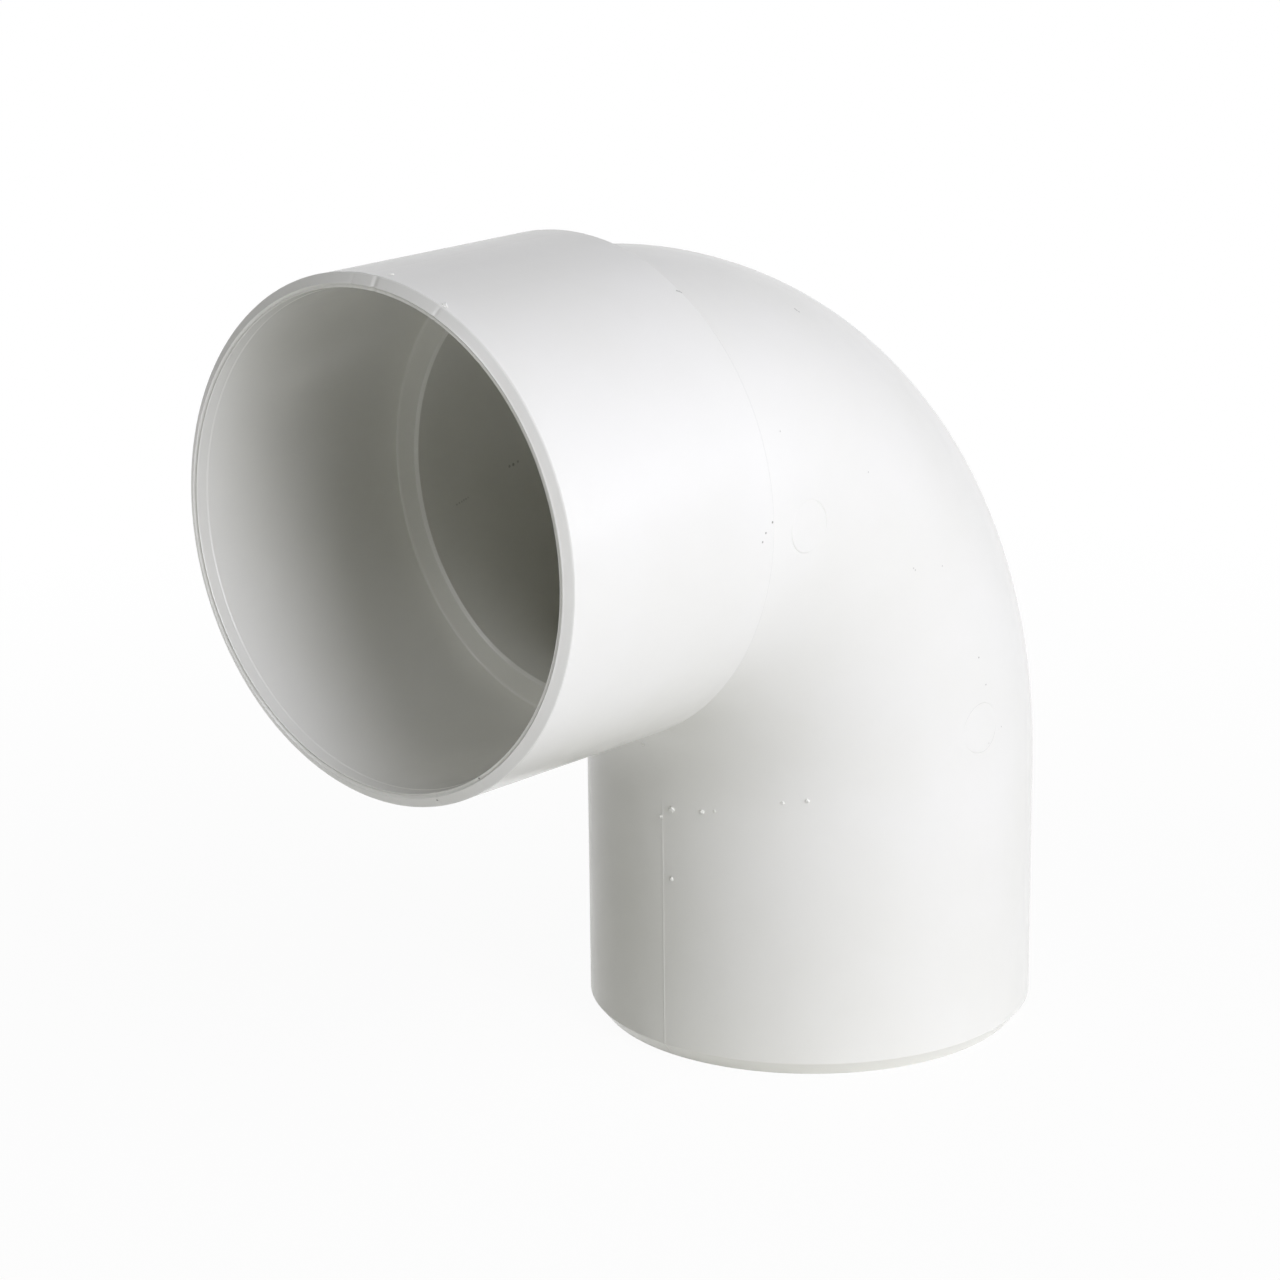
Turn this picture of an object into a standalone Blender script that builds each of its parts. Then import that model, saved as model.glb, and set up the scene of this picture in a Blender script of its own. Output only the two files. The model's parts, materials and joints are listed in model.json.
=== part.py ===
"""A 63 mm, 90 degree PVC elbow with one spigot end and one solvent-weld socket end.

The real fitting is a single injection moulding, so the model is one closed solid.
It is turned as a straight fitting, spigot below and socket above, and then bent
through its middle stretch. Metres, +Z up. The spigot stands on the ground plane,
the socket opens along -X, and the origin is the middle of the footprint.
"""

import math

import bpy

MM = 0.001

# Outside diameter of the pipe, which the socket takes and the spigot stands in for.
PIPE_OD = 63.0 * MM

# Spigot: the plain end. Its wall sets the bore, which runs on through the bend.
SPIGOT_LENGTH = 37.0 * MM
SPIGOT_WALL = 3.6 * MM
SPIGOT_CHAMFER = 1.5 * MM
BORE_EDGE = 0.4 * MM

# Bend: an arc of the centre line, with a thinner wall at the throat by the socket.
BEND_RADIUS = 47.6 * MM
BEND_ANGLE = math.radians(90.0)
THROAT_WALL = 3.0 * MM

# Socket: the pipe goes in as far as the stop ring.
ROOT_CLEARANCE = 0.1 * MM
MOUTH_CLEARANCE = 0.2 * MM
SOCKET_DEPTH = 36.0 * MM
SOCKET_WALL = 2.05 * MM
STOP_THICKNESS = 1.4 * MM
STOP_EDGE = 0.4 * MM
ROOT_FILLET = 0.5 * MM

# Socket mouth and shoulder.
LEAD_IN_WIDTH = 0.1 * MM
LEAD_IN_DEPTH = 1.8 * MM
RIM_CHAMFER_WIDTH = 1.3 * MM
RIM_CHAMFER_DEPTH = 0.4 * MM
SHOULDER_ROUND = 0.4 * MM
SHOULDER_FILLET = 0.3 * MM

# Facets.
SEGMENTS = 64
BEND_STATIONS = 18
ROUND_POINTS = 3
MERGE_DISTANCE = 0.00001

PVC_COLOUR = (0.90, 0.90, 0.885, 1.0)
PVC_ROUGHNESS = 0.25

# Worked out from the sizes above. Heights are along the straight fitting, with the
# start of the bend at zero.
BEND_LENGTH = BEND_RADIUS * BEND_ANGLE
STOP_HEIGHT = BEND_LENGTH + STOP_THICKNESS
RIM_HEIGHT = STOP_HEIGHT + SOCKET_DEPTH
SPIGOT_R = PIPE_OD / 2
BORE_R = SPIGOT_R - SPIGOT_WALL
THROAT_R = BORE_R + THROAT_WALL
ROOT_R = (PIPE_OD + ROOT_CLEARANCE) / 2
MOUTH_R = (PIPE_OD + MOUTH_CLEARANCE) / 2
SOCKET_R = ROOT_R + SOCKET_WALL


def clear_scene():
    for old in list(bpy.data.objects):
        bpy.data.objects.remove(old, do_unlink=True)


def round_corner(centre, radius, start, end):
    """Points on an arc in the profile, angles in degrees from +X."""
    points = []
    for i in range(ROUND_POINTS + 1):
        angle = math.radians(start + (end - start) * i / ROUND_POINTS)
        points.append((centre[0] + radius * math.cos(angle), centre[1] + radius * math.sin(angle)))
    return points


def outer_side():
    """Down the outside, from the socket's rim to the spigot's end face."""
    points = [
        (MOUTH_R + LEAD_IN_WIDTH, RIM_HEIGHT),
        (SOCKET_R - RIM_CHAMFER_WIDTH, RIM_HEIGHT),
        (SOCKET_R, RIM_HEIGHT - RIM_CHAMFER_DEPTH),
    ]
    edge = (SOCKET_R - SHOULDER_ROUND, BEND_LENGTH + SHOULDER_ROUND)
    points += round_corner(edge, SHOULDER_ROUND, 0, -90)
    inner_corner = (THROAT_R + SHOULDER_FILLET, BEND_LENGTH - SHOULDER_FILLET)
    points += round_corner(inner_corner, SHOULDER_FILLET, 90, 180)
    first_station = BEND_LENGTH - 2 * SHOULDER_FILLET
    for i in range(BEND_STATIONS + 1):
        share = i / BEND_STATIONS
        points.append((THROAT_R + (SPIGOT_R - THROAT_R) * share, first_station * (1 - share)))
    points += [
        (SPIGOT_R, SPIGOT_CHAMFER - SPIGOT_LENGTH),
        (SPIGOT_R - SPIGOT_CHAMFER, -SPIGOT_LENGTH),
    ]
    return points


def inner_side():
    """Back up the inside, from the spigot's end face to the socket's lead-in."""
    points = [
        (BORE_R + BORE_EDGE, -SPIGOT_LENGTH),
        (BORE_R, BORE_EDGE - SPIGOT_LENGTH),
    ]
    for i in range(BEND_STATIONS + 1):
        points.append((BORE_R, BEND_LENGTH * i / BEND_STATIONS))
    points += [
        (BORE_R, STOP_HEIGHT - STOP_EDGE),
        (BORE_R + STOP_EDGE, STOP_HEIGHT),
    ]
    root = (ROOT_R - ROOT_FILLET, STOP_HEIGHT + ROOT_FILLET)
    points += round_corner(root, ROOT_FILLET, -90, 0)
    points.append((MOUTH_R, RIM_HEIGHT - LEAD_IN_DEPTH))
    return points


def profile_mesh(name, points):
    """A closed outline in the XZ plane."""
    mesh = bpy.data.meshes.new(name)
    count = len(points)
    edges = [(i, (i + 1) % count) for i in range(count)]
    mesh.from_pydata([(r, 0.0, z) for r, z in points], edges, [])
    return mesh


def add_turning(obj):
    screw = obj.modifiers.new("Turn", "SCREW")
    screw.axis = "Z"
    screw.angle = math.tau
    screw.steps = SEGMENTS
    screw.render_steps = SEGMENTS
    screw.use_merge_vertices = True
    screw.merge_threshold = MERGE_DISTANCE
    screw.use_smooth_shade = True


def add_bend(obj):
    """Bend the stretch between the spigot and the socket about an axis along Y."""
    height = SPIGOT_LENGTH + RIM_HEIGHT
    bend = obj.modifiers.new("Bend", "SIMPLE_DEFORM")
    bend.deform_method = "BEND"
    bend.deform_axis = "Y"
    bend.angle = -BEND_ANGLE
    bend.limits = (SPIGOT_LENGTH / height, (SPIGOT_LENGTH + BEND_LENGTH) / height)


def pvc_material():
    material = bpy.data.materials.new("white_pvc")
    material.use_nodes = True
    shader = material.node_tree.nodes["Principled BSDF"]
    shader.inputs["Base Color"].default_value = PVC_COLOUR
    shader.inputs["Roughness"].default_value = PVC_ROUGHNESS
    shader.inputs["Metallic"].default_value = 0.0
    return material


def spigot_place():
    """Where the bend starts, with the box of the finished fitting centred on the origin."""
    bend_reach = BEND_RADIUS * (1 - math.cos(BEND_ANGLE))
    socket_reach = (RIM_HEIGHT - BEND_LENGTH) * math.sin(BEND_ANGLE)
    rim_tilt = SOCKET_R * abs(math.cos(BEND_ANGLE))
    return ((bend_reach + socket_reach + rim_tilt - SPIGOT_R) / 2, 0.0, SPIGOT_LENGTH)


def build_elbow_body(collection):
    points = outer_side() + inner_side()
    body = bpy.data.objects.new("elbow_body", profile_mesh("elbow_body", points))
    collection.objects.link(body)
    add_turning(body)
    add_bend(body)
    body.location = spigot_place()
    body.data.materials.append(pvc_material())
    return body


def main():
    clear_scene()
    collection = bpy.data.collections.new("pvc_elbow")
    bpy.context.scene.collection.children.link(collection)
    build_elbow_body(collection)


main()
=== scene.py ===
"""The looks of a white 63 mm PVC elbow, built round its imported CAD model.

The fitting is one moulding, so it is one fine mesh that stands for the CAD solid. It is
laid out straight, with the spigot's end at zero and the socket's rim at the far end,
and each point is then carried round the bend. A place on the wall is a length along
the centre line and an angle round it: 0 is the back of the bend, 180 its inside, and
-90 the side that faces -Y. The small traces of moulding are shaped in the same mesh.
"""

import json
import math

import bmesh
import bpy
import numpy as np
from mathutils import Matrix, Vector, noise


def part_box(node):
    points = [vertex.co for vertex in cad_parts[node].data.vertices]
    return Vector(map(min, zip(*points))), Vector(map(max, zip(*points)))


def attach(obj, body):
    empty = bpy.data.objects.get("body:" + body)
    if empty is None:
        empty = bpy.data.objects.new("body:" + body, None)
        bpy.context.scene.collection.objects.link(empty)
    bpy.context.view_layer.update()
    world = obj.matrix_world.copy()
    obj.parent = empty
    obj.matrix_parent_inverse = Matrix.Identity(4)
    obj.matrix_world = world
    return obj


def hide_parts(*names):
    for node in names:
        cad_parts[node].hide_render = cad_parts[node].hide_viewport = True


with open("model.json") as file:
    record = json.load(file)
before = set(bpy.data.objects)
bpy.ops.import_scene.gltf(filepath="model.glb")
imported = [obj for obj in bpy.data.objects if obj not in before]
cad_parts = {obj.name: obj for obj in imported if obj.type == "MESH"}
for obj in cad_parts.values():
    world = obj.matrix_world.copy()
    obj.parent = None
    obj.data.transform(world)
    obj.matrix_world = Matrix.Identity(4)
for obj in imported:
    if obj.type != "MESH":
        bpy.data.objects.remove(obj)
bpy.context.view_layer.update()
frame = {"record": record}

MM = 0.001

# Sizes that the frame does not give, as the part has them.
BEND_RADIUS = 47.6 * MM
SPIGOT_WALL = 3.6 * MM
THROAT_WALL = 3.0 * MM
SOCKET_WALL = 2.05 * MM
MOUTH_TAPER = 0.05 * MM
LEAD_IN_WIDTH = 0.1 * MM
LEAD_IN_DEPTH = 1.8 * MM
BORE_EDGE = 0.4 * MM

# The chamfers reach further than the part's plain ones: the spigot's is wider and
# taller, and the rim's goes deeper, down to a fine edge.
SPIGOT_CHAMFER_WIDTH = 1.7 * MM
SPIGOT_CHAMFER_HEIGHT = 2.1 * MM
RIM_CHAMFER_DEPTH = 0.72 * MM

# Sizes and places from the frame.
body_low, body_high = (Vector(corner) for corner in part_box("elbow_body"))
mounts = {mount["name"]: mount["pos_m"] for mount in frame["record"]["mounts"]}
SPIGOT_X = mounts["spigot_end"][0]
SPIGOT_R = body_high.x - SPIGOT_X
SOCKET_R = body_high.y
SOCKET_Z = body_high.z - SOCKET_R
SPIGOT_LENGTH = SOCKET_Z - BEND_RADIUS
BEND_END = SPIGOT_LENGTH + BEND_RADIUS * math.pi / 2
STOP = BEND_END + SPIGOT_X - BEND_RADIUS - mounts["pipe_stop"][0]
RIM = BEND_END + SPIGOT_X - BEND_RADIUS - mounts["socket_rim"][0]
BORE_R = SPIGOT_R - SPIGOT_WALL
THROAT_R = BORE_R + THROAT_WALL
ROOT_R = SOCKET_R - SOCKET_WALL
MOUTH_R = ROOT_R + MOUTH_TAPER
LIP_R = MOUTH_R + LEAD_IN_WIDTH

# Edge rounds of the fine mesh.
SHARP = 0.06 * MM
CRISP = 0.12 * MM
SHOULDER_FILLET = 0.3 * MM
SHOULDER_ROUND = 0.25 * MM
ROUND_STEPS = 4

# How far apart the mesh's stations lie. A straight run has one close to each of its ends
# and at least three spans between them, and a short run has none.
EDGE_LOOP = 0.15 * MM
SHORT_RUN = 3 * EDGE_LOOP
LAST_GAP = 1.5 * EDGE_LOOP
LEAST_SPANS = 3
COARSE_STEP = 1.8 * MM
FINE_STEP = 0.35 * MM

# How far apart the mesh's long edges lie, in degrees round the wall: on the plain wall,
# along the core line, at a nick and at the parting line. Two are never closer than the
# least turn. The bands are how far a nick's and the parting line's reach to each side.
COARSE_TURN = 2.25
FINE_TURN = 0.5
NICK_TURN = 0.25
PARTING_TURN = 0.1
LEAST_TURN = 0.05
NICK_BAND = 1.2
PARTING_BAND = 0.9

# Ejector pins of the mould pressed on the bend, on the -Y side. The first is by the
# spigot and the second by the socket: how far round the bend each is from that end, its
# angle round the wall, and which way its face tips, with 0 at the socket and 90 the back.
PINS = ((12.2, -91.0, 180.0), (12.3, -92.2, -50.0))
PIN_RADIUS = 3.5 * MM
PIN_RISE = 0.09 * MM
PIN_EDGE = 0.1 * MM
PIN_GROOVE = 0.065 * MM

# Each mark is meshed in a square window, by rings of these radii in mm, which lie close
# together at the mark's edge.
PIN_WINDOW = 4.4 * MM
PIN_RINGS = [4.2, 3.95, 3.8] + [3.7 - 0.04 * i for i in range(11)] + [3.2, 2.8, 2.1, 1.4, 0.7]

# Face of the rim from its chamfer inward: two fine ridges with a groove between them.
# Each corner is how far out from the lip it lies, its depth below the rim's plane, and
# its round.
RIM_FACE = (
    (0.74 * MM, 0.12 * MM, 0.0),
    (0.60 * MM, 0.0, 0.04 * MM),
    (0.32 * MM, 0.32 * MM, 0.05 * MM),
    (0.07 * MM, 0.12 * MM, 0.03 * MM),
    (0.0, 0.26 * MM, 0.0),
)

# The chamfer's fine outer edge, and the small step where the lead-in starts.
RIM_EDGE = 0.14 * MM
LEAD_IN_STEP = 0.04 * MM

# Parting line: a thin ridge of flash along the inside and the back. It is plain on the
# spigot and faint past it, and its height goes up and down a little in two waves.
FLASH_WIDTH = 0.13 * MM
FLASH_HEIGHT = 0.055 * MM
FLASH_HEIGHT_BEND = 0.008 * MM
FLASH_FADE = 0.6 * MM
FLASH_UNEVEN = 0.25
FLASH_WAVES = (2.3 * MM, 0.9 * MM)

# Nicks in the rim: angle, depth and reach round the rim. They share a reach along.
NICK_REACH = 0.9 * MM
RIM_NICKS = (
    (-3.2, 0.16 * MM, 0.35 * MM),
    (-21.9, 0.07 * MM, 0.25 * MM),
    (3.6, 0.06 * MM, 0.25 * MM),
    (-146.6, 0.05 * MM, 0.3 * MM),
    (-161.7, 0.07 * MM, 0.3 * MM),
)

# The wall lies this far inside its CAD face, so that no ridge stands out of it.
SKIN = 0.03 * MM

# Waves that cooling leaves in a thick moulding.
SINK_DEPTH = 0.018 * MM
SINK_LENGTH = 16.0 * MM

# Core line: where two cores met, a fine step on the +Y side of the bore. Its ends are a
# length along and an angle, and its width is in degrees.
CORE_LINE_FROM = (93.5 * MM, 91.3)
CORE_LINE_TO = (111.8 * MM, 107.8)
CORE_LINE_STEP = 0.03 * MM
CORE_LINE_WIDTH = 0.5

# It fades in over a sixth of its length and out over a twentieth, just past its end. To
# each side it stays for some degrees and fades over as many more.
CORE_LINE_FADE_IN = 1 / 6
CORE_LINE_FADE_OUT = 1 / 20
CORE_LINE_SIDE = 6.0

# Its stations, and the degrees by which its close edges reach past its ends.
CORE_LINE_RUN = 0.9 * MM
CORE_LINE_MARGIN = 1.0

# Grains of dirt in the plastic: length along, angle, radius, strength. Those in a row
# make a short dash.
SPECKS = (
    (112.2 * MM, -88.5, 0.15 * MM, 0.75),
    (112.4 * MM, -32.9, 0.15 * MM, 0.5),
    (112.2 * MM, -33.2, 0.15 * MM, 0.5),
    (112.0 * MM, -33.6, 0.15 * MM, 0.5),
    (96.1 * MM, -33.5, 0.16 * MM, 0.5),
    (96.0 * MM, -33.9, 0.16 * MM, 0.5),
    (95.8 * MM, -34.3, 0.14 * MM, 0.5),
    (113.5 * MM, -90.4, 0.14 * MM, 0.65),
    (114.1 * MM, -92.2, 0.14 * MM, 0.65),
    (106.4 * MM, -69.4, 0.11 * MM, 0.35),
    (91.4 * MM, -76.4, 0.11 * MM, 0.35),
    (77.5 * MM, -90.6, 0.12 * MM, 0.35),
    (77.0 * MM, -90.6, 0.12 * MM, 0.35),
    (72.4 * MM, -83.8, 0.12 * MM, 0.3),
    (56.8 * MM, -86.1, 0.12 * MM, 0.6),
    (52.5 * MM, -86.1, 0.11 * MM, 0.5),
    (44.4 * MM, -88.7, 0.10 * MM, 0.35),
    (45.3 * MM, -82.4, 0.10 * MM, 0.35),
)

# The same on the rim: how far in from the outside wall, angle, radius, strength. All
# lie this deep below the rim's plane.
RIM_SPECK_DEPTH = 0.28 * MM
RIM_SPECKS = (
    (0.85 * MM, -161.8, 0.15 * MM, 0.7),
    (1.65 * MM, -146.6, 0.14 * MM, 0.7),
)

# The same in the bore, along the core line: length along, angle, radius, strength.
BORE_SPECKS = (
    (94.3 * MM, 93.4, 0.2 * MM, 0.4),
    (93.6 * MM, 92.6, 0.22 * MM, 0.5),
    (92.8 * MM, 91.4, 0.18 * MM, 0.35),
    (105.7 * MM, 105.4, 0.14 * MM, 0.3),
    (105.1 * MM, 105.0, 0.14 * MM, 0.3),
    (104.5 * MM, 104.7, 0.14 * MM, 0.3),
    (104.0 * MM, 104.3, 0.14 * MM, 0.3),
    (103.5 * MM, 104.0, 0.14 * MM, 0.3),
    (103.0 * MM, 103.6, 0.14 * MM, 0.25),
)

# Burrs that stand up where two parts of the mould met: length along, angle, size.
BURRS = (
    (36.7 * MM, -176.9, 0.42 * MM),
    (37.5 * MM, -168.0, 0.36 * MM),
    (38.5 * MM, -164.5, 0.22 * MM),
    (35.3 * MM, -180.4, 0.28 * MM),
    (26.6 * MM, -177.2, 0.32 * MM),
    (43.0 * MM, -146.9, 0.24 * MM),
    (43.3 * MM, -140.8, 0.28 * MM),
    (64.1 * MM, 177.6, 0.28 * MM),
    (146.5 * MM, -4.0, 0.30 * MM),
    (147.6 * MM, -21.9, 0.36 * MM),
)

# A burr is a ball made ragged by noise, and pressed flatter toward the wall.
BURR_SUBDIVISIONS = 3
BURR_ROUGHNESS = 1.3
BURR_RAGGED = 0.5
BURR_HEIGHT = 0.7

# Plastic: two close whites in slow clouds, a gloss that varies a little, and a fine
# orange peel. A noise is its scale and its detail, and a range is its span in use.
PVC_WHITE = (0.87, 0.868, 0.812, 1.0)
PVC_SHADE = (0.85, 0.848, 0.785, 1.0)
PVC_IOR = 1.53
CLOUD_NOISE = (45.0, 3.0)
CLOUD_RANGE = (0.35, 0.65)
GLOSS_NOISE = (160.0, 4.0)
GLOSS_RANGE = (0.3, 0.7)
ROUGHNESS_RANGE = (0.2, 0.265)
PEEL_NOISE = (900.0, 2.0)
PEEL_STRENGTH = 0.12
PEEL_DISTANCE = 0.04 * MM

# A grain of dirt is full inside the first of these shares of its radius and gone
# outside the second.
GRAIN_EDGE = (0.7, 1.3)
SPECK_COLOUR = (0.16, 0.15, 0.12, 1.0)

# The Mix node's sockets for colours.
MIX_FIRST, MIX_SECOND, MIX_RESULT = 6, 7, 2

# Floor: a round sweep that is seen as nearly white near the object, for its shadow, and
# as white from the second of these distances on.
WHITE = (1.0, 1.0, 1.0, 1.0)
FLOOR_COLOUR = (0.9, 0.9, 0.85, 1.0)
FLOOR_WHITE_SHARE = 0.95
FLOOR_FADE = (0.05, 0.3)
FLOOR_RADIUS = 3.0
FLOOR_RINGS = 12
FLOOR_TURNS = 64
FLOOR_DROP = 0.05 * MM

# Light from the world.
FILL_COLOUR = (1.0, 1.0, 0.85, 1.0)
FILL_STRENGTH = 0.02

# Lamps: azimuth and elevation from the object in degrees, distance, width, height, watts
# and colour. Azimuth 0 is along -Y and 90 along +X.
COOL = (0.91, 0.91, 1.0)
WARM = (1.0, 1.0, 0.8)
LAMPS = (
    ("key_softbox", -15.0, 20.0, 1.2, 0.4, 1.1, 7.1, COOL),
    ("middle_softbox", 0.0, 20.0, 1.2, 0.7, 0.7, 2.45, COOL),
    ("low_softbox", 25.0, 8.0, 1.2, 0.6, 0.6, 3.25, COOL),
    ("top_softbox", -15.0, 50.0, 1.2, 1.6, 0.6, 3.15, COOL),
    ("mouth_softbox", -92.0, 42.0, 1.2, 0.35, 0.35, 1.2, COOL),
    ("right_softbox", 45.0, 15.0, 1.2, 1.1, 0.85, 0.75, COOL),
    ("left_fill", -105.0, 25.0, 1.2, 1.2, 0.9, 0.6, WARM),
    ("back_fill", 132.0, 5.0, 1.2, 0.35, 0.7, 6.0, COOL),
)

# Camera: where it looks from, in the same degrees, its roll, what it looks at, and its
# lens and sensor in mm.
VIEW_AZIMUTH = -47.963
VIEW_ELEVATION = 16.248
VIEW_ROLL = -0.621
VIEW_POINT = Vector((-2.04, 6.15, 58.55)) * MM
VIEW_DISTANCE = 536.1 * MM
LENS = 110.965
SENSOR_WIDTH = 36.0


# Shape

def turned(corners):
    """A closed outline with rounded corners.

    A corner is (radius, length along, round, outside), and a point of the outline is
    (radius, length along, outside), with 1 on the outside wall and 0 on the inside.
    """
    outline = []
    for i, (radius, along, fillet, outside) in enumerate(corners):
        here = np.array((radius, along))
        if not fillet:
            outline.append((*here, outside))
            continue
        back = np.array(corners[i - 1][:2]) - here
        ahead = np.array(corners[(i + 1) % len(corners)][:2]) - here
        back /= np.linalg.norm(back)
        ahead /= np.linalg.norm(ahead)
        half = math.acos(back @ ahead) / 2
        centre = here + (back + ahead) / np.linalg.norm(back + ahead) * fillet / math.sin(half)
        first = here + back * fillet / math.tan(half) - centre
        last = here + ahead * fillet / math.tan(half) - centre
        sweep = math.pi - 2 * half
        for step in range(ROUND_STEPS + 1):
            ahead_share = math.sin(sweep * step / ROUND_STEPS) / math.sin(sweep)
            back_share = math.sin(sweep * (1 - step / ROUND_STEPS)) / math.sin(sweep)
            outline.append((*(centre + first * back_share + last * ahead_share), outside))
    return np.array(outline)


def run_step(along, outside):
    """How far apart the stations lie at this length: close together over a trace."""
    if outside and any(abs(along - pin) < PIN_WINDOW for pin in pin_lengths()):
        return FINE_STEP
    if not outside and CORE_LINE_FROM[0] < along < CORE_LINE_TO[0]:
        return CORE_LINE_RUN
    return COARSE_STEP


def stationed(outline):
    """The outline with more points along its straight runs."""
    points = []
    for here, ahead in zip(outline, np.roll(outline, -1, axis=0)):
        points.append(here)
        gap = np.linalg.norm((ahead - here)[:2])
        if gap < SHORT_RUN:
            continue
        way = (ahead - here) / gap
        place = EDGE_LOOP
        while place < gap - LAST_GAP:
            points.append(here + way * place)
            place += min(run_step(points[-1][1], here[2] and ahead[2]), gap / LEAST_SPANS)
        points.append(ahead - way * EDGE_LOOP)
    return np.array(points)


def pin_lengths():
    """Lengths along the centre line of the two ejector pins."""
    reach = [BEND_RADIUS * math.radians(pin[0]) for pin in PINS]
    return SPIGOT_LENGTH + reach[0], BEND_END - reach[1]


def wall_profile():
    """The wall's section, from the spigot's end along the outside and back inside.

    The skin is taken off the outside wall later, so the rim's edge starts that much out.
    """
    return stationed(turned([
        (SPIGOT_R - SPIGOT_CHAMFER_WIDTH, 0.0, CRISP, 1),
        (SPIGOT_R, SPIGOT_CHAMFER_HEIGHT, CRISP, 1),
        (SPIGOT_R, SPIGOT_LENGTH, 0.0, 1),
        (THROAT_R, BEND_END, SHOULDER_FILLET, 1),
        (SOCKET_R, BEND_END, SHOULDER_ROUND, 1),
        (SOCKET_R, RIM - RIM_CHAMFER_DEPTH - 2 * RIM_EDGE, 0.0, 1),
        (SOCKET_R + SKIN, RIM - RIM_CHAMFER_DEPTH - RIM_EDGE, SKIN, 1),
        (SOCKET_R + SKIN - RIM_EDGE, RIM - RIM_CHAMFER_DEPTH, SKIN, 1),
        *((LIP_R + out, RIM - deep, fillet, 0) for out, deep, fillet in RIM_FACE),
        (MOUTH_R, RIM - LEAD_IN_DEPTH, 0.0, 0),
        (MOUTH_R - LEAD_IN_STEP, RIM - LEAD_IN_DEPTH - LEAD_IN_STEP, 0.0, 0),
        (ROOT_R, STOP, SHOULDER_ROUND, 0),
        (BORE_R + BORE_EDGE, STOP, SHARP, 0),
        (BORE_R, STOP - BORE_EDGE, SHARP, 0),
        (BORE_R, BORE_EDGE, SHARP, 0),
        (BORE_R + BORE_EDGE, 0.0, SHARP, 0),
    ]))


def turn_angles():
    """Angles of the mesh's long edges, closer together over the small traces."""
    fine_turn = math.degrees(FINE_STEP / SPIGOT_R)
    fine = [(pin[1], math.degrees(PIN_WINDOW / SPIGOT_R), fine_turn) for pin in PINS]
    fine += [(angle, PARTING_BAND, PARTING_TURN) for angle in (-180.0, 0.0, 180.0)]
    fine += [(nick[0], NICK_BAND, NICK_TURN) for nick in RIM_NICKS]
    core = (CORE_LINE_FROM[1] + CORE_LINE_TO[1]) / 2
    fine.append((core, core - CORE_LINE_FROM[1] + CORE_LINE_MARGIN, FINE_TURN))
    angles = []
    angle = -180.0
    while angle < 180.0 - LEAST_TURN:
        angles.append(angle)
        near = [turn for middle, reach, turn in fine if abs(angle - middle) < reach + LEAST_TURN]
        ahead = [middle - reach - angle for middle, reach, _ in fine]
        step = min(near) if near else COARSE_TURN
        angle += min([step] + [gap for gap in ahead if gap > LEAST_TURN])
    return np.array(angles)


def carried(radius, along, angle):
    """Points of the bent fitting, from arrays of radius, length along and angle."""
    bend = np.clip((along - SPIGOT_LENGTH) / BEND_RADIUS, 0, math.pi / 2)
    spigot = np.minimum(along - SPIGOT_LENGTH, 0)
    socket = np.maximum(along - BEND_END, 0)
    turn = np.radians(angle)
    reach = BEND_RADIUS + radius * np.cos(turn)
    x = SPIGOT_X - BEND_RADIUS + reach * np.cos(bend) - socket
    z = SPIGOT_LENGTH + reach * np.sin(bend) + spigot
    return np.stack([x, radius * np.sin(turn), z], axis=-1)


def wall_radius(along):
    """The outside wall's radius at this length."""
    on_bend = np.interp(along, (SPIGOT_LENGTH, BEND_END), (SPIGOT_R, THROAT_R))
    return np.where(along > BEND_END, SOCKET_R, on_bend)


def bump(distance, width):
    """1 at no distance, and a smooth fall to nothing over about two widths."""
    return np.exp(-((distance / width) ** 2))


def turned_gap(angle, middle):
    """How far an angle is from another, in degrees, the short way round."""
    return (angle - middle + 180.0) % 360.0 - 180.0


def flash(along, angle):
    """The parting line's ridge: plain on the spigot, faint round the bend and the socket."""
    on_spigot = (1 - np.tanh((along - SPIGOT_LENGTH) / FLASH_FADE)) / 2
    height = FLASH_HEIGHT_BEND + (FLASH_HEIGHT - FLASH_HEIGHT_BEND) * on_spigot
    waves = np.sin(along / FLASH_WAVES[0]) * np.sin(along / FLASH_WAVES[1])
    height = height * (1 - FLASH_UNEVEN + FLASH_UNEVEN * waves)
    gap = np.minimum(abs(turned_gap(angle, 0.0)), abs(turned_gap(angle, 180.0)))
    return height * bump(np.radians(gap) * SPIGOT_R, FLASH_WIDTH)


def pin_marks(along, angle):
    """Round marks: each a flat face, tipped so that one side is proud and one is sunk.

    The groove round a mark is deepest where the face is most proud or most sunk.
    """
    relief = 0.0
    for pin, (_, side, tip) in zip(pin_lengths(), PINS):
        across = np.radians(turned_gap(angle, side)) * SPIGOT_R
        distance = np.hypot(along - pin, across)
        tip = math.radians(tip)
        slope = ((along - pin) * math.cos(tip) + across * math.sin(tip)) / PIN_RADIUS
        face = (1 - np.tanh((distance - PIN_RADIUS) / PIN_EDGE)) / 2
        groove = PIN_GROOVE * slope ** 2 * bump(distance - PIN_RADIUS, PIN_EDGE)
        relief = relief + PIN_RISE * slope * face - groove
    return relief


def sink_waves(points):
    """Slow hollows in the outside, from smooth noise at each point."""
    waves = [noise.noise(Vector(point) / SINK_LENGTH) for point in points.reshape(-1, 3)]
    return SINK_DEPTH * (np.array(waves).reshape(points.shape[:2]) - 1)


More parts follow.
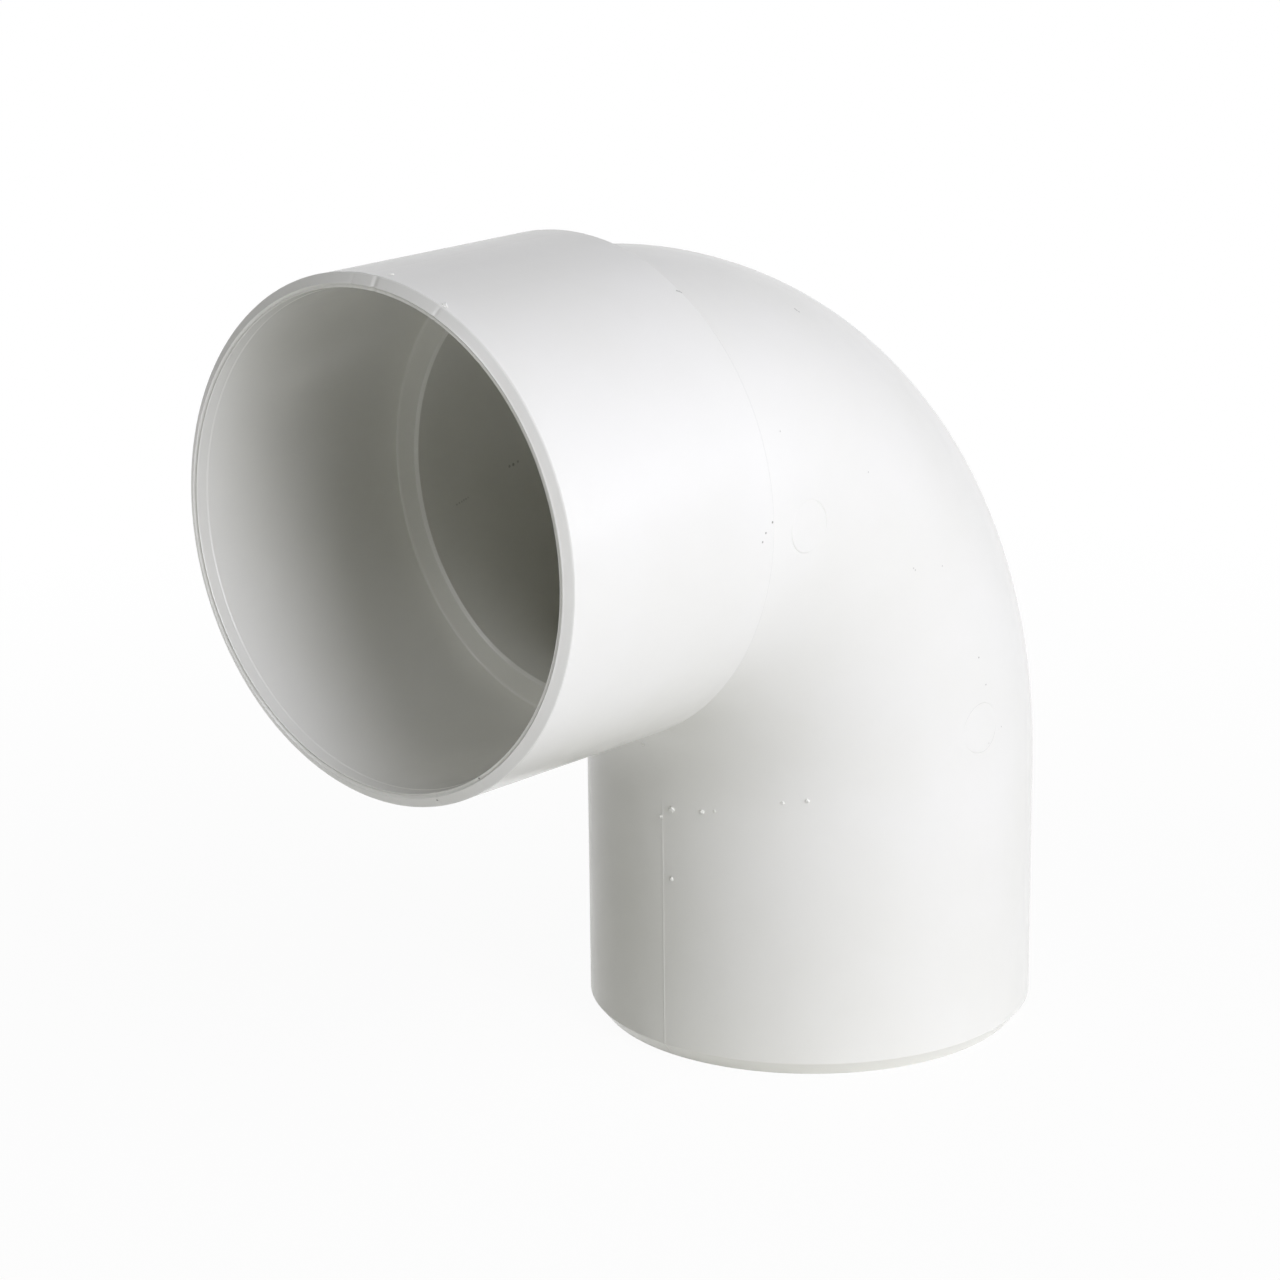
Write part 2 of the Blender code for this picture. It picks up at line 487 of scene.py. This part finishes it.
def core_step(along, angle):
    """The step in the bore along the line where two cores met."""
    share = (along - CORE_LINE_FROM[0]) / (CORE_LINE_TO[0] - CORE_LINE_FROM[0])
    line = CORE_LINE_FROM[1] + share * (CORE_LINE_TO[1] - CORE_LINE_FROM[1])
    fade_in = np.clip(share / CORE_LINE_FADE_IN, 0, 1)
    fade_out = np.clip((1 - share) / CORE_LINE_FADE_OUT + 1, 0, 1)
    beside = np.clip(2 - abs(angle - line) / CORE_LINE_SIDE, 0, 1)
    step = CORE_LINE_STEP * np.tanh((angle - line) / CORE_LINE_WIDTH)
    return step * fade_in * fade_out * beside


def rim_nicks(along, angle):
    """How far the rim is worn back, at a few places only."""
    depth = 0.0
    for middle, deep, reach in RIM_NICKS:
        across = np.radians(turned_gap(angle, middle)) * SOCKET_R
        depth = depth + deep * bump(across, reach) * bump(along - RIM, NICK_REACH)
    return depth


def wall_points(radius, along, angle, outside):
    """Points of the moulding, with the traces that its mould left."""
    waves = sink_waves(carried(radius, along, angle))
    relief = flash(along, angle) + pin_marks(along, angle) + waves - SKIN
    relief = outside * relief + (1 - outside) * core_step(along, angle)
    return carried(radius + relief, along - rim_nicks(along, angle), angle)


def pin_window(profile, angles, pin, side):
    """Grid rows and columns that bound a square round an ejector pin."""
    rows = np.flatnonzero((profile[:, 2] == 1) & (abs(profile[:, 1] - pin) < PIN_WINDOW))
    reach = math.degrees(PIN_WINDOW / SPIGOT_R)
    columns = np.flatnonzero(abs(angles - side) < reach)
    return rows[0] - 1, rows[-1] + 1, columns[0] - 1, columns[-1] + 1


def window_loop(first, last, left, right):
    """Grid places round a window, in order."""
    loop = [(first, column) for column in range(left, right)]
    loop += [(row, right) for row in range(first, last)]
    loop += [(last, column) for column in range(right, left, -1)]
    return loop + [(row, left) for row in range(last, first, -1)]


def pin_rings(profile, angles, loop, pin, side):
    """Rings of points inside a window's loop, which close in on the pin's centre."""
    along = np.array([profile[row, 1] for row, _ in loop])
    across = np.radians([angles[column] - side for _, column in loop]) * SPIGOT_R
    toward = np.arctan2(across, along - pin)
    distance = np.array(PIN_RINGS)[:, None] * MM
    along = pin + distance * np.cos(toward)
    angle = side + np.degrees(distance * np.sin(toward) / SPIGOT_R)
    return wall_points(wall_radius(along), along, angle, np.ones_like(along))


def ring_faces(outer, inner):
    """Quads between two rings of as many point numbers."""
    around = zip(outer, np.roll(outer, -1), np.roll(inner, -1), inner)
    return [tuple(int(number) for number in face) for face in around]


def closing_faces(outer, rings, first):
    """Faces from a window's loop in through its rings to the point in the middle.

    The first ring's points are numbered from the number given, and the rest follow on.
    """
    faces = []
    count = len(outer)
    for start in range(first, first + rings * count, count):
        inner = list(range(start, start + count))
        faces += ring_faces(outer, inner)
        outer = inner
    middle = first + rings * count
    return faces + [(here, ahead, middle) for here, ahead in zip(outer, outer[1:] + outer[:1])]


def grid_faces(number, whole):
    """Quads of the grid, in both ways round, where it is whole."""
    ahead, beside = np.roll(number, -1, axis=0), np.roll(number, -1, axis=1)
    corners = np.stack([number, beside, np.roll(ahead, -1, axis=1), ahead], axis=-1)
    return corners[whole].tolist()


def tidied_mesh(name, points, faces):
    """A smooth mesh with no loose points, whose faces all look out."""
    mesh = bpy.data.meshes.new(name)
    mesh.from_pydata(points.tolist(), [], faces)
    wall = bmesh.new()
    wall.from_mesh(mesh)
    bmesh.ops.delete(wall, geom=[point for point in wall.verts if not point.link_faces])
    bmesh.ops.recalc_face_normals(wall, faces=wall.faces)
    wall.to_mesh(mesh)
    wall.free()
    mesh.shade_smooth()
    return mesh


def elbow_mesh():
    """The wall as a grid of stations and angles, with finer rings at the two pin marks."""
    profile, angles = wall_profile(), turn_angles()
    radius, along, outside = (
        np.repeat(column[:, None], len(angles), axis=1) for column in profile.T
    )
    around = np.broadcast_to(angles, radius.shape)
    points = [wall_points(radius, along, around, outside).reshape(-1, 3)]
    number = np.arange(radius.size).reshape(radius.shape)
    whole = np.ones(radius.shape, bool)
    faces = []
    total = radius.size
    for pin, (_, side, _) in zip(pin_lengths(), PINS):
        first, last, left, right = pin_window(profile, angles, pin, side)
        whole[first:last, left:right] = False
        loop = window_loop(first, last, left, right)
        rings = pin_rings(profile, angles, loop, pin, side)
        points += [rings.reshape(-1, 3), rings[-1].mean(axis=0)[None]]
        faces += closing_faces([number[place] for place in loop], len(rings), total)
        total += len(rings) * len(loop) + 1
    faces += grid_faces(number, whole)
    return tidied_mesh("elbow", np.clip(np.concatenate(points), body_low, body_high), faces)


def burr_mesh():
    """Small ragged lumps that stand a little out of the wall, one at each burr's place."""
    burrs = bmesh.new()
    for along, angle, size in BURRS:
        wall = wall_radius(along) - SKIN
        place = Vector(carried(wall, along, angle))
        out = (Vector(carried(wall + size, along, angle)) - place).normalized()
        ball = bmesh.ops.create_icosphere(burrs, subdivisions=BURR_SUBDIVISIONS, radius=size)
        for point in ball["verts"]:
            ragged = noise.noise(point.co * BURR_ROUGHNESS / size + place / MM)
            point.co *= 1 + BURR_RAGGED * ragged
            point.co -= out * (1 - BURR_HEIGHT) * point.co.dot(out)
            point.co += place
            point.co.z = min(point.co.z, body_high.z)
    mesh = bpy.data.meshes.new("moulding_burrs")
    burrs.to_mesh(mesh)
    burrs.free()
    mesh.shade_smooth()
    return mesh


# Finish

def new_material(name):
    """A material with its node tree, empty but for the output."""
    material = bpy.data.materials.new(name)
    material.use_nodes = True
    tree = material.node_tree
    tree.nodes.clear()
    return material, tree, tree.nodes.new("ShaderNodeOutputMaterial")


def set_inputs(node, **values):
    """Sets sockets by their names, with an underscore for each space."""
    for name, value in values.items():
        node.inputs[name.replace("_", " ")].default_value = value


def object_place(tree):
    """The place on the object, from one node that the whole tree shares."""
    node = tree.nodes.get("Place") or tree.nodes.new("ShaderNodeTexCoord")
    node.name = "Place"
    return node.outputs["Object"]


def noise_value(tree, scale, detail):
    """Smooth noise over the object."""
    node = tree.nodes.new("ShaderNodeTexNoise")
    set_inputs(node, Scale=scale, Detail=detail)
    tree.links.new(object_place(tree), node.inputs["Vector"])
    return node.outputs["Fac"]


def ranged(tree, source, low, high, to_low, to_high):
    """A value carried from one range to another, and held inside it."""
    node = tree.nodes.new("ShaderNodeMapRange")
    set_inputs(node, From_Min=low, From_Max=high, To_Min=to_low, To_Max=to_high)
    tree.links.new(source, node.inputs["Value"])
    return node.outputs["Result"]


def put(tree, socket, value):
    """A link or a plain value into a socket."""
    if isinstance(value, bpy.types.NodeSocket):
        tree.links.new(value, socket)
    else:
        socket.default_value = value


def mixed(tree, factor, first, second):
    """Two colours mixed."""
    node = tree.nodes.new("ShaderNodeMix")
    node.data_type = "RGBA"
    tree.links.new(factor, node.inputs["Factor"])
    put(tree, node.inputs[MIX_FIRST], first)
    put(tree, node.inputs[MIX_SECOND], second)
    return node.outputs[MIX_RESULT]


def maths(tree, operation, first, second):
    """Two values put together by a Math node."""
    node = tree.nodes.new("ShaderNodeMath")
    node.operation = operation
    put(tree, node.inputs[0], first)
    put(tree, node.inputs[1], second)
    return node.outputs["Value"]


def grains():
    """Place, radius and strength of each grain of dirt."""
    rim = RIM - RIM_SPECK_DEPTH
    placed = [(carried(SOCKET_R - inset, rim, angle), *grain) for inset, angle, *grain in RIM_SPECKS]
    placed += [(carried(BORE_R, along, angle), *grain) for along, angle, *grain in BORE_SPECKS]
    for along, angle, *grain in SPECKS:
        placed.append((carried(wall_radius(along) - SKIN, along, angle), *grain))
    return placed


def speck_mask(tree):
    """1 on the grains of dirt and 0 between them."""
    mask = None
    for place, radius, strength in grains():
        distance = tree.nodes.new("ShaderNodeVectorMath")
        distance.operation = "DISTANCE"
        distance.inputs[1].default_value = place.tolist()
        tree.links.new(object_place(tree), distance.inputs[0])
        full, gone = (share * radius for share in GRAIN_EDGE)
        grain = ranged(tree, distance.outputs["Value"], full, gone, strength, 0.0)
        mask = grain if mask is None else maths(tree, "MAXIMUM", mask, grain)
    return mask


def pvc_material():
    """Glossy white PVC: slight clouds, a gloss that varies, fine orange peel and dirt."""
    material, tree, output = new_material("white_pvc_moulded")
    shader = tree.nodes.new("ShaderNodeBsdfPrincipled")
    set_inputs(shader, IOR=PVC_IOR)
    cloud = ranged(tree, noise_value(tree, *CLOUD_NOISE), *CLOUD_RANGE, 0.0, 1.0)
    colour = mixed(tree, cloud, PVC_WHITE, PVC_SHADE)
    colour = mixed(tree, speck_mask(tree), colour, SPECK_COLOUR)
    tree.links.new(colour, shader.inputs["Base Color"])
    gloss = ranged(tree, noise_value(tree, *GLOSS_NOISE), *GLOSS_RANGE, *ROUGHNESS_RANGE)
    tree.links.new(gloss, shader.inputs["Roughness"])
    peel = tree.nodes.new("ShaderNodeBump")
    set_inputs(peel, Strength=PEEL_STRENGTH, Distance=PEEL_DISTANCE)
    tree.links.new(noise_value(tree, *PEEL_NOISE), peel.inputs["Height"])
    tree.links.new(peel.outputs["Normal"], shader.inputs["Normal"])
    tree.links.new(shader.outputs["BSDF"], output.inputs["Surface"])
    return material


def build_moulding():
    """The elbow itself and the burrs on it, in one material."""
    plastic = pvc_material()
    elbow = bpy.data.objects.new("elbow", elbow_mesh())
    burrs = bpy.data.objects.new("moulding_burrs", burr_mesh())
    for piece in (elbow, burrs):
        piece.data.materials.append(plastic)
        bpy.context.scene.collection.objects.link(piece)
        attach(piece, "root")
    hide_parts("elbow_body")


# Studio

def seen_share(tree):
    """1 for rays that show the background: from the camera, or by gloss or glass."""
    path = tree.nodes.new("ShaderNodeLightPath")
    gloss = maths(tree, "MAXIMUM", path.outputs["Is Glossy Ray"], path.outputs["Is Transmission Ray"])
    return maths(tree, "MAXIMUM", path.outputs["Is Camera Ray"], gloss)


def shown_white(tree, factor, kind, plain, output):
    """A plain shader that turns to even white by a factor, into the tree's output."""
    white = tree.nodes.new(kind)
    set_inputs(white, Color=WHITE, Strength=1.0)
    mix = tree.nodes.new("ShaderNodeMixShader")
    tree.links.new(factor, mix.inputs["Fac"])
    tree.links.new(plain.outputs[0], mix.inputs[1])
    tree.links.new(white.outputs[0], mix.inputs[2])
    tree.links.new(mix.outputs["Shader"], output.inputs["Surface"])


def floor_material():
    """A white sweep that keeps a light shadow near the object."""
    material, tree, output = new_material("studio_floor")
    matt = tree.nodes.new("ShaderNodeBsdfDiffuse")
    set_inputs(matt, Color=FLOOR_COLOUR)
    from_here = tree.nodes.new("ShaderNodeVectorMath")
    from_here.operation = "LENGTH"
    tree.links.new(object_place(tree), from_here.inputs[0])
    far = ranged(tree, from_here.outputs["Value"], *FLOOR_FADE, FLOOR_WHITE_SHARE, 1.0)
    white_share = maths(tree, "MULTIPLY", far, seen_share(tree))
    shown_white(tree, white_share, "ShaderNodeEmission", matt, output)
    return material


def floor_ring(radius):
    """Points round a circle on the floor."""
    turns = [math.tau * i / FLOOR_TURNS for i in range(FLOOR_TURNS)]
    return [(radius * math.cos(turn), radius * math.sin(turn), 0.0) for turn in turns]


def build_floor():
    """A round floor in rings, just under the spigot's end."""
    points = [(0.0, 0.0, 0.0)]
    for ring in range(1, FLOOR_RINGS + 1):
        points += floor_ring(FLOOR_RADIUS * (ring / FLOOR_RINGS) ** 2)
    beside = [(i + 1) % FLOOR_TURNS for i in range(FLOOR_TURNS)]
    faces = [(0, 1 + i, 1 + beside[i]) for i in range(FLOOR_TURNS)]
    for ring in range(FLOOR_RINGS - 1):
        inner = 1 + ring * FLOOR_TURNS
        outer = inner + FLOOR_TURNS
        for i in range(FLOOR_TURNS):
            faces.append((inner + i, outer + i, outer + beside[i], inner + beside[i]))
    mesh = bpy.data.meshes.new("studio_floor")
    mesh.from_pydata(points, [], faces)
    floor = bpy.data.objects.new("studio_floor", mesh)
    floor.location.z = body_low.z - FLOOR_DROP
    floor.data.materials.append(floor_material())
    bpy.context.scene.collection.objects.link(floor)


def build_world():
    """Soft fill light, and plain white where the background shows."""
    world = bpy.data.worlds.new("studio")
    bpy.context.scene.world = world
    world.use_nodes = True
    tree = world.node_tree
    tree.nodes.clear()
    output = tree.nodes.new("ShaderNodeOutputWorld")
    fill = tree.nodes.new("ShaderNodeBackground")
    set_inputs(fill, Color=FILL_COLOUR, Strength=FILL_STRENGTH)
    shown_white(tree, seen_share(tree), "ShaderNodeBackground", fill, output)


def direction(azimuth, elevation):
    """The way out to a lamp or the camera."""
    azimuth, elevation = math.radians(azimuth), math.radians(elevation)
    flat = math.cos(elevation)
    return Vector((math.sin(azimuth) * flat, -math.cos(azimuth) * flat, math.sin(elevation)))


def build_lamps():
    """Softboxes round the object. The fills light it and don't show in its gloss."""
    centre = (body_low + body_high) / 2
    for name, azimuth, elevation, distance, width, height, watts, colour in LAMPS:
        data = bpy.data.lights.new(name, "AREA")
        data.shape = "RECTANGLE"
        data.size, data.size_y = width, height
        data.energy = watts
        data.color = colour
        lamp = bpy.data.objects.new(name, data)
        back = direction(azimuth, elevation)
        lamp.location = centre + back * distance
        lamp.rotation_euler = back.to_track_quat("Z", "Y").to_euler()
        lamp.visible_glossy = not name.endswith("fill")
        bpy.context.scene.collection.objects.link(lamp)


def build_camera():
    """The camera at the view point's distance, with its small roll."""
    data = bpy.data.cameras.new("camera")
    data.sensor_width = SENSOR_WIDTH
    data.lens = LENS
    camera = bpy.data.objects.new("camera", data)
    back = direction(VIEW_AZIMUTH, VIEW_ELEVATION)
    camera.location = VIEW_POINT + back * VIEW_DISTANCE
    roll = Matrix.Rotation(math.radians(VIEW_ROLL), 3, "Z")
    camera.rotation_euler = (back.to_track_quat("Z", "Y").to_matrix() @ roll).to_euler()
    bpy.context.scene.collection.objects.link(camera)
    bpy.context.scene.camera = camera


build_moulding()
build_floor()
build_world()
build_lamps()
build_camera()
bpy.context.scene.view_settings.view_transform = "Standard"
